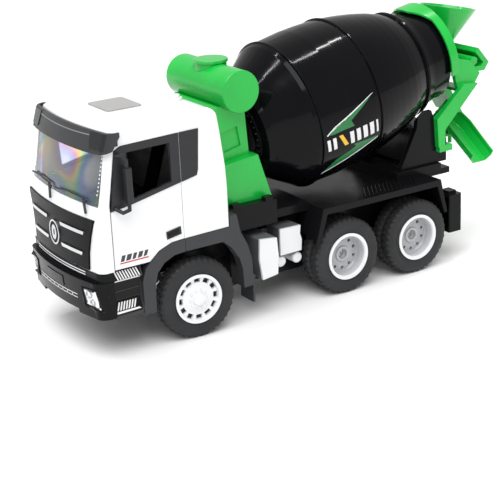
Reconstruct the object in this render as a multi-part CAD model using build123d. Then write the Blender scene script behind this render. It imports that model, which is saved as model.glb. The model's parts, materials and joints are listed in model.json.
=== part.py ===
from build123d import *
import math
import os

# Toy cement mixer truck, 1:18, in millimetres.
# Lengths along the truck are measured from a point over the front axle: +X forward,
# +Y to the truck's left, +Z up from the ground.  save() moves every piece so that the
# origin is the middle of the truck's footprint.

# ---- driving dimensions -------------------------------------------------------
MIDDLE_SHIFT = 132.74       # that point's place ahead of the footprint's middle
TYRE_R = 36.0               # tyre radius, so the axle height as well
FRONT_AXLE_X = -2.0         # front axle, from the point that lengths are measured from
MID_AXLE_X = -163.2
REAR_AXLE_X = -245.5
FRONT_FACE_Y = 69.5         # outer face of a front tyre
FRONT_TYRE_W = 19.0
DUAL_FACE_Y = 67.4          # outer face of a rear twin tyre
TWIN_TYRE_W = 13.2
TWIN_GAP = 1.6
BEAD_R = 21.6               # rim barrel, tyre bore
RIM_LIP_R = 22.3
AXLE_R = 2.5
RUNNING = 0.05              # radial clearance of a shaft in its bore
WALL = 2.0                  # moulded wall thickness

KINGPIN_Y = 45.0
KINGPIN_R = 2.0
STEER_ARM = 18.0            # kingpin to tie rod pin
REST_STEER = -3.5           # front wheels stand turned a little to the right
SERVO_X = FRONT_AXLE_X - 2 * STEER_ARM   # steering servo's output shaft

CAB_HALF = 66.5
ROOF_Z = 201.0
ROOF_ROUND = 8.0
CAB_CORNER = 8.0            # vertical corner between the cab's front and side
CAB_BOW = 5.5               # how far the front bows ahead of its corners
# height, front and rear of the cab
CAB_SIDE = [(79.0, 95.5, -35.8), (126.0, 95.0, -35.8), (133.0, 92.0, -35.7), (150.0, 87.7, -34.8),
            (181.0, 81.6, -31.0), (193.0, 77.5, -29.2)]
CAB_LEAN_Z = 133.0          # above this height the rear wall leans forward

DRUM_TILT = 10.6            # degrees, rising to the rear
DRUM_RING = (-135.2, 162.6)  # x and z of the front hoop's centre
DRUM_WALL = 2.0
HOOPS = [(0.0, 70.9, 3.0), (67.35, 70.9, 3.0), (139.05, 52.9, 5.0)]  # place, radius, width
GEAR_MODULE = 1.0
DRUM_TEETH = 40
PINION_TEETH = 10
GEAR_S = -61.5              # drum gear's place along the drum's axis
GEAR_W = 5.0

DRIVE_MODULE = 0.7
AXLE_TEETH = 30
DRIVE_TEETH = 10

CHUTE_X = -343.0            # vertical pivot of the chute
TANK_X = -65.7
TANK_Z = 204.6
TANK_R = 18.7
TANK_HALF = 49.0

os.makedirs("parts", exist_ok=True)


# ---- helpers ------------------------------------------------------------------
def save(name, shape):
    """Write one node, moved into the truck's own frame."""
    export_step(Pos(MIDDLE_SHIFT, 0, 0) * shape, "parts/" + name + ".step")


def block(x, y, z):
    """Box between pairs of limits."""
    size = Box(x[1] - x[0], y[1] - y[0], z[1] - z[0])
    return Pos((x[0] + x[1]) / 2, (y[0] + y[1]) / 2, (z[0] + z[1]) / 2) * size


def side_plate(points, y_low, y_high):
    """Plate whose outline lies in the XZ plane, between two values of y."""
    outline = Polyline(*[(x, y_low, z) for x, z in points], close=True)
    return extrude(make_face(outline), amount=y_high - y_low, dir=(0, 1, 0))


def front_plate(points, x_low, x_high):
    """Plate whose outline lies in the YZ plane, between two values of x."""
    outline = Polyline(*[(x_low, y, z) for y, z in points], close=True)
    return extrude(make_face(outline), amount=x_high - x_low, dir=(1, 0, 0))


def rod_y(x, z, radius, y_low, y_high):
    """Cylinder along Y."""
    return Pos(x, (y_low + y_high) / 2, z) * Rot(90, 0, 0) * Cylinder(radius, y_high - y_low)


def rod_z(x, y, radius, z_low, z_high):
    """Vertical cylinder."""
    return Pos(x, y, (z_low + z_high) / 2) * Cylinder(radius, z_high - z_low)


def turned(profile):
    """Body of revolution about Y from (radius, y) points, about the origin."""
    outline = Polyline(*[(r, y, 0) for r, y in profile], close=True)
    return revolve(make_face(outline), axis=Axis.Y)


def both(shape):
    """The piece and its mirror image on the truck's other side."""
    return Compound(children=[shape, other_side(shape)])


def other_side(shape):
    return mirror(shape, about=Plane.XZ)


def on_drum(s):
    """Placement at distance s along the drum's axis, local Z pointing to the rear."""
    tilt = math.radians(DRUM_TILT)
    x = DRUM_RING[0] - s * math.cos(tilt)
    z = DRUM_RING[1] + s * math.sin(tilt)
    return Pos(x, 0, z) * Rot(0, -90 + DRUM_TILT, 0)


def turned_on_drum(profile):
    """Body of revolution about the drum's axis from (radius, s) points."""
    outline = Polyline(*[(r, 0, s) for r, s in profile], close=True)
    return on_drum(0) * revolve(make_face(outline), axis=Axis.Z)


def spur_gear(teeth, module, width, bore, phase=0.0):
    """Spur gear about Z with straight-flanked teeth and some backlash."""
    pitch_r = teeth * module / 2
    root_r = pitch_r - 1.2 * module
    tip_r = pitch_r + 0.85 * module
    step = 2 * math.pi / teeth
    points = []
    for i in range(teeth):
        centre = i * step + math.radians(phase)
        for radius, offset in ((root_r, -0.30), (tip_r, -0.13), (tip_r, 0.13), (root_r, 0.30)):
            angle = centre + offset * step
            points.append((radius * math.cos(angle), radius * math.sin(angle)))
    gear = extrude(make_face(Polyline(*points, close=True)), amount=width / 2, both=True)
    return gear - Cylinder(bore, width + 2)


# ---- cab ----------------------------------------------------------------------
def cab_section(front_x, half, rear_x, z, corner, bow):
    """Plan outline of the cab: flat rear and sides, round corners, bowed front."""
    side_x = front_x - bow - corner
    edge_y = half - corner
    mid_x = side_x + corner * math.sqrt(0.5)
    mid_y = edge_y + corner * math.sqrt(0.5)
    sides = Polyline((side_x, half, z), (rear_x, half, z), (rear_x, -half, z), (side_x, -half, z))
    right = ThreePointArc((side_x, -half, z), (mid_x, -mid_y, z), (front_x - bow, -edge_y, z))
    front = ThreePointArc((front_x - bow, -edge_y, z), (front_x, 0, z), (front_x - bow, edge_y, z))
    left = ThreePointArc((front_x - bow, edge_y, z), (mid_x, mid_y, z), (side_x, half, z))
    return make_face([sides, right, front, left])


def cab_solid(out=0.0):
    """The cab's outer form, grown by out (shrunk if negative)."""
    corner = CAB_CORNER + out
    sections = []
    for z, front_x, rear_x in CAB_SIDE:
        sections.append(cab_section(front_x + out, CAB_HALF + out, rear_x - out, z, corner, CAB_BOW))
    top_z, top_x, top_rear = CAB_SIDE[-1]
    for i in range(1, 5):
        angle = math.radians(22.5 * i)
        inset = (ROOF_ROUND + out) * (1 - math.cos(angle))
        z = top_z + (ROOF_ROUND + out) * math.sin(angle)
        sections.append(cab_section(top_x + out - 1.6 * inset, CAB_HALF + out - inset,
                                    top_rear - out + inset, z, corner, CAB_BOW))
    return loft(sections, ruled=True)


CAB_UNDERSIDE = [(43, 79.9), (34, 87.5), (21.5, 92.3), (5.6, 93.2), (-40, 94.0), (-40, 70), (43, 70)]
SEAM_X = 8.5                # door's rear edge


def sill_z(x):
    """Height of the black trim's lower edge, sloping up to the rear."""
    return 133.6 + (56.8 - x) * 0.2016


def door_outline():
    """The cab's opening for the door and its window frame."""
    return [(76.5, 79), (76.5, 137.0), (69.2, 181.5), (62.9, 184.6), (SEAM_X, 186.0), (SEAM_X, 79)]


def windshield_outline(gap):
    """Outline of the windshield's opening, shrunk by gap."""
    half = 62.5 - gap
    return [(-half, 135.5 + gap), (half, 135.5 + gap), (half - 1.5, 188 - gap), (-half + 1.5, 188 - gap)]


def make_cab_shell():
    shell = cab_solid() - cab_solid(-WALL) - block((-33.8, 87), (-64.5, 64.5), (70, 90))
    shell -= side_plate(CAB_UNDERSIDE, -80, 80)
    shell -= side_plate(door_outline(), 60, 70)
    shell -= side_plate(door_outline(), -70, -60)
    shell -= front_plate(windshield_outline(0), 60, 110)
    beacon = rod_z(-15, 22, 6.5, 199.5, 203.5) + rod_z(-15, 22, 4.5, 203.5, 206)
    return shell + beacon


def make_windshield():
    pane = cab_solid(-0.3) - cab_solid(-1.7)
    return pane & front_plate(windshield_outline(0.2), 60, 110)


WHEEL_PLACE = Pos(51, 31, 136) * Rot(0, -58, 0)   # steering wheel's centre and tilt


def make_cab_interior():
    floor = block((-33.3, 84), (-63.5, 63.5), (96, 98))
    rear = side_plate([(-33.3, 98), (-33.3, CAB_LEAN_Z), (-32.4, 150), (-28.6, 181), (-27.4, 185),
                       (-25.4, 185), (-26.6, 181), (-30.4, 150), (-31.3, CAB_LEAN_Z), (-31.3, 98)], -63.5, 63.5)
    dash = side_plate([(84, 98), (84, 131), (80, 135), (66, 133), (60, 122), (68, 98)], -60, 60)
    tub = floor + rear + dash
    for y in (-31, 31):
        base = side_plate([(-6, 98), (-8, 116), (26, 119), (29, 112), (24, 98)], y - 21, y + 21)
        back = side_plate([(-8, 114), (-22, 166), (-12, 168), (4, 119)], y - 20, y + 20)
        head = side_plate([(-20, 163), (-23, 182), (-14, 183), (-11, 163)], y - 10, y + 10)
        tub += base + back + head
    for x in (-26, 56):
        for y in (-20, 20):
            tub += block((x - 4, x + 4), (y - 3, y + 3), (TUB_TOP_Z, 96))
    tub += block((-8, 60), (-7, 7), (98, 108))
    return tub - WHEEL_PLACE * Pos(0, 0, -11.5) * Cylinder(2.1, 20.3)


def make_steering_wheel():
    wheel = Torus(14, 1.5)
    hub = Cylinder(3.5, 3)
    for angle in (90, 210, 330):
        hub += Rot(0, 0, angle) * Pos(7.5, 0, 0) * Box(14, 2.4, 1.6)
    column = Pos(0, 0, -11.5) * Cylinder(2, 20)
    return WHEEL_PLACE * (wheel + hub + column)


def make_door(gap=0.4):
    outline = [(76 - gap, 80.3), (76 - gap, sill_z(76) + 0.9), (56.8, 133.6), (SEAM_X + gap, sill_z(SEAM_X))]
    outline += [(SEAM_X + gap, 93.3), (21.5, 92.5), (34, 87.8), (43, 80.3)]
    return side_plate(outline, 64.0, 66.5)


def make_door_frame(gap=0.4):
    outline = [(76 - gap, 131.0), (68.5 - gap, 181.2), (62.9, 184.3), (SEAM_X + gap, 185.6)]
    outline += [(SEAM_X + gap, sill_z(SEAM_X)), (56.8, 133.6)]
    window = [(58.3, 178.4), (17.6, 179.0), (17.9, 145.4), (55.9, 137.4)]
    frame = side_plate(outline, 64.0, 67.2) - side_plate(window, 60, 70)
    handle = side_plate([(11.5, 98.3), (12.0, 105.0), (26.0, 102.6), (25.5, 96.0)], 66.5, 67.4)
    return Compound(children=[frame, handle])


def make_quarter_trim():
    top = [(SEAM_X - 0.3, 186.0), (-10.4, 186.3), (-8.1, 151.2), (-6.7, sill_z(-6.7))]
    return side_plate(top + [(SEAM_X - 0.3, sill_z(SEAM_X))], 66.5, 67.2)


def make_mirror():
    """Upright mirror on a C-shaped arm, carried by the door's front edge."""
    housing = fillet(block((59, 64.5), (69.5, 78.0), (138.5, 168)).edges().filter_by(Axis.Z), 1.5)
    route = [(67, 67.2, 177.5), (66, 73.5, 179), (62, 74, 174), (62, 74, 164)]
    upper = sweep_tube(route, 1.6)
    route = [(72, 67.2, 133.5), (68, 73.5, 130.5), (62, 74, 132), (62, 74, 142)]
    lower = sweep_tube(route, 1.6)
    return housing + upper + lower - block((50, 80), (60, 67.2), (120, 190))


def sweep_tube(route, radius):
    """Round bar along straight runs, with a ball at each corner."""
    bar = None
    for start, end in zip(route, route[1:]):
        run = Vector(*end) - Vector(*start)
        plane = Plane(origin=start, z_dir=run)
        piece = plane * Pos(0, 0, run.length / 2) * Cylinder(radius, run.length)
        piece += Pos(*end) * Sphere(radius)
        bar = piece if bar is None else bar + piece
    return bar


def make_sun_visor():
    def shade(out):
        sections = []
        for z, front_x in ((179.0, 86.6), (196.5, 81.0)):
            sections.append(cab_section(front_x + out, CAB_HALF + 3.3 + out, 40, z, 9 + out, CAB_BOW))
        return loft(sections, ruled=True)
    outer = shade(0)
    inner = shade(-2.4)
    blade = outer - inner
    keep = side_plate([(100, 178), (86, 178), (71.5, 182), (64, 193), (64, 198), (100, 198)], -80, 80)
    blade = blade & keep
    for y in (-42, 42):
        rib = block((70, 83), (y - 1.5, y + 1.5), (183, 193)) & inner
        blade += rib - cab_solid(0.1)
    for y in (-67.0, 67.0):
        blade += block((65, 74), (y - 0.4, y + 0.4), (185, 192)) - cab_solid(0.02)
    return blade


def make_grille():
    skin = cab_solid(1.6) - cab_solid(0.02)
    edge = [(62.3, 125.5), (56.8, 111), (53.0, 96), (51.5, 80.4)]
    outline = edge + [(-y, z) for y, z in reversed(edge)]
    return skin & front_plate(outline, 70, 110)


def make_grille_chrome():
    """Four slats, two thin lines and the oval ring, all plated."""
    skin = cab_solid(3.0) - cab_solid(1.62)
    bars = []
    for z, end_y in ((112.5, 50), (94.0, 46.5)):
        bar = front_plate([(13.5, z - 1.5), (end_y - 1.2, z - 1.5), (end_y, z + 1.5), (12.5, z + 1.5)],
                          80, 110)
        bars.append(bar)
    parts = [skin & bar for bar in bars]
    parts += [other_side(piece) for piece in parts]
    for z in (76.9, 74.6):
        line = extrude(bumper_band(z, 0.7), amount=1.1) - extrude(bumper_band(z, 0.02), amount=1.1)
        parts.append(line & block((80, 110), (-46, 46), (z - 1, z + 2)))
    ring = extrude(Plane.YZ * (Ellipse(9.4, 11.0) - Ellipse(7.9, 9.5)), amount=40)
    emblem = extrude(Plane.YZ * (Ellipse(4.4, 6.6) - Ellipse(1.3, 3.2)), amount=40)
    parts.append(skin & (Pos(70, 0, 101.5) * ring))
    parts.append(skin & (Pos(70, 0, 101.5) * emblem))
    return Compound(children=parts)


BUMPER_LOW_Z = 38.0
BUMPER_SPLIT_Z = 71.0
LAMP = [(44.5, 62.5), (61.5, 64.0), (64.2, 47.0), (46.0, 49.5)]


def bumper_band(z, out=0.0):
    """Plan outline of the band between the bumper and the grille, grown by out."""
    return cab_section(96.6 + out, 66.4 + out, 40, z, 9 + out, 5.5)


def bumper_solid(out, low_z=BUMPER_LOW_Z, high_z=BUMPER_SPLIT_Z):
    sections = []
    for z, front_x in ((low_z, 99.0 + out), (high_z, 101.5 + out)):
        sections.append(cab_section(front_x, 67.0 + out, 40, z, 10 + out, 6.5))
    return loft(sections, ruled=True)


def make_bumper():
    bumper = bumper_solid(0) - bumper_solid(-3)
    height = 78.9 - BUMPER_SPLIT_Z
    band = extrude(bumper_band(BUMPER_SPLIT_Z), amount=height)
    bumper += band - extrude(bumper_band(BUMPER_SPLIT_Z, -3.4), amount=height)
    bumper += bumper_solid(-0.05, 69.5, BUMPER_SPLIT_Z) - bumper_solid(-9, 60, 75)
    bumper -= block((0, 78), (-80, 80), (30, 90))
    bumper -= block((80, 120), (-34, 34), (30, 41.5))
    bumper -= front_plate(LAMP, 78.5, 120)
    bumper -= other_side(front_plate(LAMP, 78.5, 120))
    return bumper


def make_headlight():
    insets = ((0.15, -0.15), (-0.15, -0.15), (-0.15, 0.15), (0.15, 0.15))
    lamp = [(y + dy, z + dz) for (y, z), (dy, dz) in zip(LAMP, insets)]
    return (bumper_solid(-0.5) - bumper_solid(-4.5)) & front_plate(lamp, 78.5, 120)


def on_glass(y, z, out):
    """Point that far in front of the windshield or of the panel below it."""
    stations = [(z_low, x_low, z_high, x_high) for (z_low, x_low, _), (z_high, x_high, _)
                in zip(CAB_SIDE, CAB_SIDE[1:]) if z_low <= z <= z_high]
    z_low, x_low, z_high, x_high = stations[0]
    front_x = x_low + (x_high - x_low) * (z - z_low) / (z_high - z_low)
    bow = CAB_BOW * (y / (CAB_HALF - CAB_CORNER)) ** 2
    return (front_x - bow + out, y, z)


def make_wiper(y):
    """Wiper lying along the windshield's lower edge: spindle, arm and a long blade."""
    knee = on_glass(y - 7, 140.5, 1.9)
    tip = on_glass(y - 52, 139.5, 1.9)
    heel = on_glass(y - 2, 138.5, 1.9)
    arm = sweep_tube([on_glass(y, 129.5, 1.7), on_glass(y, 131.0, 2.3), knee], 1.1)
    return arm + sweep_tube([heel, knee, on_glass(y - 30, 141.5, 1.9), tip], 0.9)


# ---- arches, steps, side equipment ---------------------------------------------
ARCH_OUT = [(51.4, 34), (51.4, 64), (47.8, 75.0), (43, 79.7), (34, 87.3), (21.5, 92.1), (SEAM_X, 92.9)]
ARCH_IN = [(SEAM_X, 81.6), (20, 80.6), (30, 76), (36.8, 68.5), (39.6, 58), (40.3, 34)]


def make_step():
    """Front half of the wheel arch with the entry step beside it."""
    arch = side_plate(ARCH_OUT + ARCH_IN, 57.0, 67.2)
    outline = [(50, 35.5), (65.5, 35.5), (66.9, 40.5), (66.9, 42), (63.0, 51), (63.0, 69.0), (65.0, 69.0)]
    outline += [(66.9, 70.5), (66.9, 71.5), (64.0, 78.8), (50, 78.8)]
    return arch + front_plate(outline, 51.4, 77.8)


def make_fender():
    """Rear half of the wheel arch, with the mud flap behind the wheel."""
    outline = [(SEAM_X - 0.3, 92.9), (-36.2, 93.6), (-36.5, 103.5), (-43.6, 103.5), (-47.0, 87), (-53.5, 74)]
    outline += [(-57.4, 60), (-58.8, 34), (-48.4, 34), (-47.8, 52), (-44.6, 63), (-37.4, 74), (-29, 81.4)]
    arch = side_plate(outline + [(SEAM_X - 0.3, 81.6)], 57.0, 67.2)
    flap = side_plate([(-60.4, 44), (-58.2, 44), (-57.4, 17.7), (-59.2, 17.7)], 46.0, 67.0)
    return arch + flap


def make_side_box():
    """Grey bodies of the fuel tank and of the smaller box behind it."""
    tank = fillet(block((-84, -67.5), (33, 64.6), (36, 74)).edges().filter_by(Axis.Y), 2.0)
    small = block((-118, -96), (33, 53.2), (50, 74))
    shelf = block((-118, -67.5), (30.2, 33), (46, 70))
    return tank + small + shelf


def make_box_face():
    """White bowed face plates on those two boxes."""
    bowed = [(-84.6, 38), (-86.0, 55), (-84.6, 72.5), (-66.9, 74.6), (-65.8, 55), (-68.5, 36)]
    kinked = [(-118.6, 49.6), (-119.4, 60), (-117.6, 66), (-118.4, 73.8), (-96, 74.4), (-95.6, 49.4)]
    return Compound(children=[side_plate(bowed, 64.6, 67.0), side_plate(kinked, 53.2, 55.4)])


def make_air_tank(x):
    tank = rod_y(x, 42.5, 5.2, 33.2, 54)
    tank = fillet(tank.edges().filter_by(GeomType.CIRCLE), 2.2)
    hanger = block((x - 1.2, x + 1.2), (36, 40), (47, 50))
    return tank + hanger


# ---- chassis and bed -------------------------------------------------------------
TUB_HALF = 30.0
TUB_LOW_Z = 22.0
TUB_TOP_Z = 82.0
AXLE_Z = TYRE_R
SCREW_PLACES = [(-66, 20), (-66, -20), (-156, 24), (-156, -24),
                (-206, 20), (-206, -20), (-276, 20), (-276, -20)]
SCREW_R = 2.2
SCREW_SINK = 1.4            # depth of the screws' counterbores


def make_chassis():
    """Moulded chassis: rear tub, raised front box and the kingpin beam."""
    tub = block((-288, -58), (-TUB_HALF, TUB_HALF), (TUB_LOW_Z, TUB_TOP_Z))
    tub -= block((-286, -60), (-TUB_HALF + WALL, TUB_HALF - WALL), (TUB_LOW_Z + WALL, TUB_TOP_Z + 1))
    front = block((-58, 84), (-24, 24), (50, TUB_TOP_Z))
    front -= block((-60, 82), (-22, 22), (52, TUB_TOP_Z + 1))
    beam = block((FRONT_AXLE_X - 7, FRONT_AXLE_X + 7), (-KINGPIN_Y + 3, KINGPIN_Y - 3), (44, 50))
    for side in (-1, 1):
        beam += rod_z(FRONT_AXLE_X, side * KINGPIN_Y, 4.6, 44, 50)
    for side in (-1, 1):
        beam -= rod_z(FRONT_AXLE_X, side * KINGPIN_Y, KINGPIN_R + RUNNING, 40, 52)
    frame = tub + front + beam
    for x in (MID_AXLE_X, REAR_AXLE_X):
        for side in (-1, 1):
            frame += rod_y(x, AXLE_Z, 6, side * 31 - 3, side * 31 + 3)
        frame -= rod_y(x, AXLE_Z, AXLE_R + RUNNING, -40, 40)
    frame -= block((-152, -80), (-21, 21), (TUB_LOW_Z - 1, TUB_LOW_Z + WALL + 1))
    frame -= block((-72.3, -63.7), (-2.3, 2.3), (TUB_LOW_Z - 1, TUB_LOW_Z + WALL + 1))
    for x, y in SCREW_PLACES:
        frame -= rod_z(x, y, SCREW_R + 0.1, TUB_LOW_Z - 1, TUB_LOW_Z + SCREW_SINK)
    bumper_arm = block((84, 92), (-24, 24), (60, 68))
    pivot_arm = block((-335, -288), (-9, 9), (70, 76))
    return frame + bumper_arm + pivot_arm


DECK_OUT = [(-136, 88), (-128.5, 60), (-126.5, 51)]
DECK_IN = [(-129.3, 51), (-133.2, 60.5), (-140.5, 82)]
DECK_REAR_IN = [(-270, 82), (-278.6, 54)]
DECK_REAR_OUT = [(-282, 54), (-274, 88)]


def make_bed():
    """Deck over the twin wheels, the bed between, and the blocks under both pedestals."""
    lip_outline = DECK_OUT + DECK_IN + DECK_REAR_IN + DECK_REAR_OUT
    skin = [(-136, 88), (-128.5, 60), (-130.5, 60), (-137.6, 86),
            (-272.5, 86), (-280.4, 54), (-282, 54), (-274, 88)]
    bed = side_plate(lip_outline, 65.0, 67.4) + side_plate(skin, 30, 65.0)
    bed = bed + other_side(bed)
    bed += block((-288, -42), (-32, 32), (TUB_TOP_Z, 88))
    bed += block((-136, -94), (-45, 45), (TUB_TOP_Z, 90)) - block((-134, -96), (-43, 43), (80, 88))
    bed += block((-94, -42.2), (-55, 55), (TUB_TOP_Z, 104))
    bed -= block((-286, -96), (-28, 28), (70, 86))
    bed -= block((-91.5, -44.5), (-52.5, 52.5), (80, 102))
    bed += block((-293, -238), (-45, 45), (88, 96))
    for x in (-52, -86):
        for side in (-1, 1):
            bed += block((x - 4, x + 4), (side * 52 - 3.4, side * 52 + 3.4), (103, 107.5))
    for i in range(14):
        start = -262 + 4.5 * i
        rib = [(start, 40), (start + 14, 62), (start + 15.4, 62), (start + 1.4, 40)]
        for side in (-1, 1):
            outline = Polyline(*[(x, side * y, 88) for x, y in rib], close=True)
            bed += extrude(make_face(outline), amount=0.7, dir=(0, 0, 1))
    return bed


def make_rear_bumper():
    """Cross member with a lamp box on each side."""
    bar = block((-296, -289), (-42, 42), (46, 58))
    box = fillet(block((-305, -289.5), (41, 62), (29, 67)).edges().filter_by(Axis.Z), 1.5)
    box -= block((-303.4, -289), (43, 60), (30.5, 64))
    box += block((-302, -293), (46, 57), (67, 69.5))
    return bar + box + other_side(box) + block((-289, -288), (-30, 30), (44, 60))


# ---- mixer: pedestal, tank, drum -------------------------------------------------
def make_front_pedestal():
    """Green tower, hollow inside, carrying the water tank and the drum's gearing."""
    low = [(-43, 104), (-42, 141), (-82.5, 145), (-95.4, 104)]
    lower = side_plate(low, -45, 45)
    lower -= side_plate([(-46, 103), (-45, 138), (-80.5, 142), (-92, 103)], -42.5, 42.5)
    post = side_plate([(-41, 138), (-41, 186), (-48, 192), (-75, 192), (-78.5, 141)], -37, 37)
    post -= side_plate([(-44, 137), (-44, 185), (-72.3, 189), (-75.6, 137)], -34.5, 34.5)
    post -= rod_y(TANK_X, TANK_Z, TANK_R + RUNNING, -60, 60)
    tower = lower + post
    tower -= block((-100, -60), (-28, 28), (122, 181))
    for side in (-1, 1):
        recess = side_plate([(-50, 168), (-67, 172), (-70, 154), (-53, 150)],
                            side * 37 - 2.0, side * 37 + 2.0)
        tower -= recess
    tower += block((-58, -55), (-34.6, 34.6), (138, 188)) - rod_y(TANK_X, TANK_Z, TANK_R + RUNNING, -60, 60)
    tower -= on_drum(-78) * Cylinder(4 + RUNNING, 60)
    motor_y = DRUM_TEETH * GEAR_MODULE / 2 + PINION_TEETH * GEAR_MODULE / 2
    tower -= on_drum(-78) * Pos(-motor_y, 0, 0) * Cylinder(3.2, 40)
    return tower


def make_water_tank():
    tank = rod_y(TANK_X, TANK_Z, TANK_R, -TANK_HALF, TANK_HALF)
    tank = fillet(tank.edges().filter_by(GeomType.CIRCLE), 1.2)
    return tank


def make_tank_cap():
    neck = rod_z(TANK_X, 0, 14.2, TANK_Z + 8, 223.4) - rod_y(TANK_X, TANK_Z, TANK_R, -60, 60)
    lid = rod_z(TANK_X, 0, 15.5, 223.4, 226.6)
    return neck + fillet(lid.edges().filter_by(GeomType.CIRCLE), 0.9)


# outer profile of the drum as radius and place along its axis: front cone, long body, rear rim
DRUM_CONE = [(33, -43), (43.5, -41), (46, -36), (56, -22), (67.5, -5), (69.6, 0)]
DRUM_BODY = [(71.0, 30), (70.8, 45), (69.4, 67.35), (66.0, 90), (59.0, 118), (50.6, 139.05), (47.2, 150),
             (45.6, 165)]
DRUM_RIM = [(45.0, 171), (43.6, 173)]


def rounded_profile(points):
    """The same profile with two more points on a smooth curve through each pair."""
    rounded = []
    for i in range(1, len(points) - 2):
        (r0, s0), (r1, s1), (r2, s2), (r3, s3) = points[i - 1:i + 3]
        slope1 = (r2 - r0) / (s2 - s0)
        slope2 = (r3 - r1) / (s3 - s1)
        length = s2 - s1
        for t in (0, 1 / 3, 2 / 3):
            rise = (2 * t**3 - 3 * t**2 + 1) * r1 + (3 * t**2 - 2 * t**3) * r2
            bend = (t**3 - 2 * t**2 + t) * slope1 + (t**3 - t**2) * slope2
            rounded.append((rise + bend * length, s1 + t * length))
    return [points[0]] + rounded + points[-2:]


DRUM_OUTER = DRUM_CONE + rounded_profile(DRUM_BODY) + DRUM_RIM


def make_drum_shell():
    """Hollow drum, open at the rear, with three moulded hoops."""
    inner = [(max(r - DRUM_WALL, 5), s) for r, s in DRUM_OUTER[1:-1]]
    inner[0] = (41.5, -39)
    inner = [(5, -39)] + inner
    profile = [(5, -43)] + DRUM_OUTER + [(41.6, 173), (41.6, 171)] + list(reversed(inner))[1:]
    drum = turned_on_drum(profile)
    for s, radius, width in HOOPS:
        half = width / 2
        drum += turned_on_drum([(radius - 2.4, s - half), (radius, s - half * 0.4), (radius, s + half * 0.4),
                                (radius - 2.4, s + half)])
    ring = turned_on_drum([(26, -45.5), (36, -45.5), (36, -43), (26, -43)])
    return drum + ring


def make_drum_gear():
    """Ring gear with the drum's front journal."""
    gear = on_drum(GEAR_S) * spur_gear(DRUM_TEETH, GEAR_MODULE, GEAR_W, 3.9)
    hub = turned_on_drum([(0, -84), (4, -84), (4, GEAR_S + 2), (9, GEAR_S + 2), (9, -45.5), (25.8, -45.5),
                          (25.8, -43), (5, -43), (5, -39), (0, -39)])
    return gear + hub


def make_drum_pinion():
    offset = (DRUM_TEETH + PINION_TEETH) * GEAR_MODULE / 2
    half_pitch = 180 / PINION_TEETH
    gear = spur_gear(PINION_TEETH, GEAR_MODULE, GEAR_W + 1, 0.9, phase=half_pitch)
    shaft = Pos(0, 0, -10) * Cylinder(1.2, 26)
    return on_drum(GEAR_S) * Pos(-offset, 0, 0) * (gear + shaft)


def make_drum_motor():
    """Gear motor inside the tower: its bore holds the pinion's shaft."""
    offset = (DRUM_TEETH + PINION_TEETH) * GEAR_MODULE / 2
    case = Pos(0, 0, -19.5) * Cylinder(9, 15)
    case += Pos(0, 0, -10.5) * Cylinder(6, 3)
    case -= Pos(0, 0, -18) * Cylinder(1.2 + RUNNING, 20)
    return on_drum(GEAR_S) * Pos(-offset, 0, 0) * case


def make_rear_pedestal():
    """Pair of black plates with the cradle under the drum's rear hoop."""
    outline = [(-303, 98), (-303, 118), (-287, 141), (-284, 149), (-268, 150), (-266, 134), (-247, 98)]
    foot = [(-303, 96), (-303, 98), (-247, 98), (-247, 96)]
    plate = side_plate(outline, 36, 41) + side_plate(foot, 36, 41)
    tie = block((-300, -262), (-36, 36), (98, 112))
    saddle = block((-293, -262), (-36, 36), (112, 134))
    clear = turned_on_drum([(0, 100), (66, 100), (54.6, 136), (54.6, 150), (50, 175), (0, 175)])
    return plate + other_side(plate) + tie + saddle - clear


# ---- rear end: hopper, discharge frame, chute --------------------------------------
HOOD_IN_R = 48.3
HOOD_OUT_R = 50.0
HOOD_START = 169.0          # front edge of the collar, along the drum's axis
HOOD_END = 178.0
# front edge of the collar's peak, as y and place along the drum's axis
PEAK = [(-31, HOOD_START + 1), (-19, 164), (-8, 157.5), (8, 157.5), (19, 164), (31, HOOD_START + 1)]


def make_hopper():
    """Collar over the drum's rear rim with the loading funnel standing on it."""
    collar = turned_on_drum([(HOOD_IN_R, HOOD_START), (HOOD_OUT_R, HOOD_START), (HOOD_OUT_R, HOOD_END),
                             (HOOD_IN_R, HOOD_END)])
    collar += turned_on_drum([(40, HOOD_END - 2), (HOOD_OUT_R, HOOD_END - 2), (HOOD_OUT_R, HOOD_END),
                              (40, HOOD_END)])
    collar -= on_drum(170) * Pos(-60, 0, 0) * Box(92, 130, 40)
    band = turned_on_drum([(HOOD_IN_R, 155), (HOOD_OUT_R, 155), (HOOD_OUT_R, HOOD_START + 1),
                           (HOOD_IN_R, HOOD_START + 1)])
    outline = make_face(Polyline(*[(20, y, s) for y, s in PEAK], close=True))
    collar += band & (on_drum(0) * extrude(outline, amount=45, dir=(1, 0, 0)))
    rings = [((-339.5, 236.5), -11, 28.0, 27.0), ((-328, 205), -20, 12.0, 14.0),
             ((-314, 193), -62, 10.5, 12.5)]
    outer = []
    inner = []
    for (x, z), tilt, half_x, half_y in rings:
        place = Pos(x, 0, z) * Rot(0, tilt, 0)
        outer.append(place * Ellipse(half_x, half_y))
        inner.append(place * Pos(0, 0, 0.2) * Ellipse(half_x - 1.8, half_y - 1.8))
    funnel = loft(outer[:2], ruled=True) + loft(outer[1:], ruled=True)
    hollow = loft(inner[:2], ruled=True) + loft(inner[1:], ruled=True)
    web = side_plate([(-301, 238), (-303, 206), (-322, 196), (-330, 204), (-318, 234)], -9, 9)
    web -= turned_on_drum([(0, 140), (60, 140), (60, 176.5), (0, 176.5)])
    return collar + web + funnel - hollow


ARM_Z = (107.0, 110.0)      # arm that carries the chute's pivot
CHUTE_PIN_R = 2.0


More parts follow.
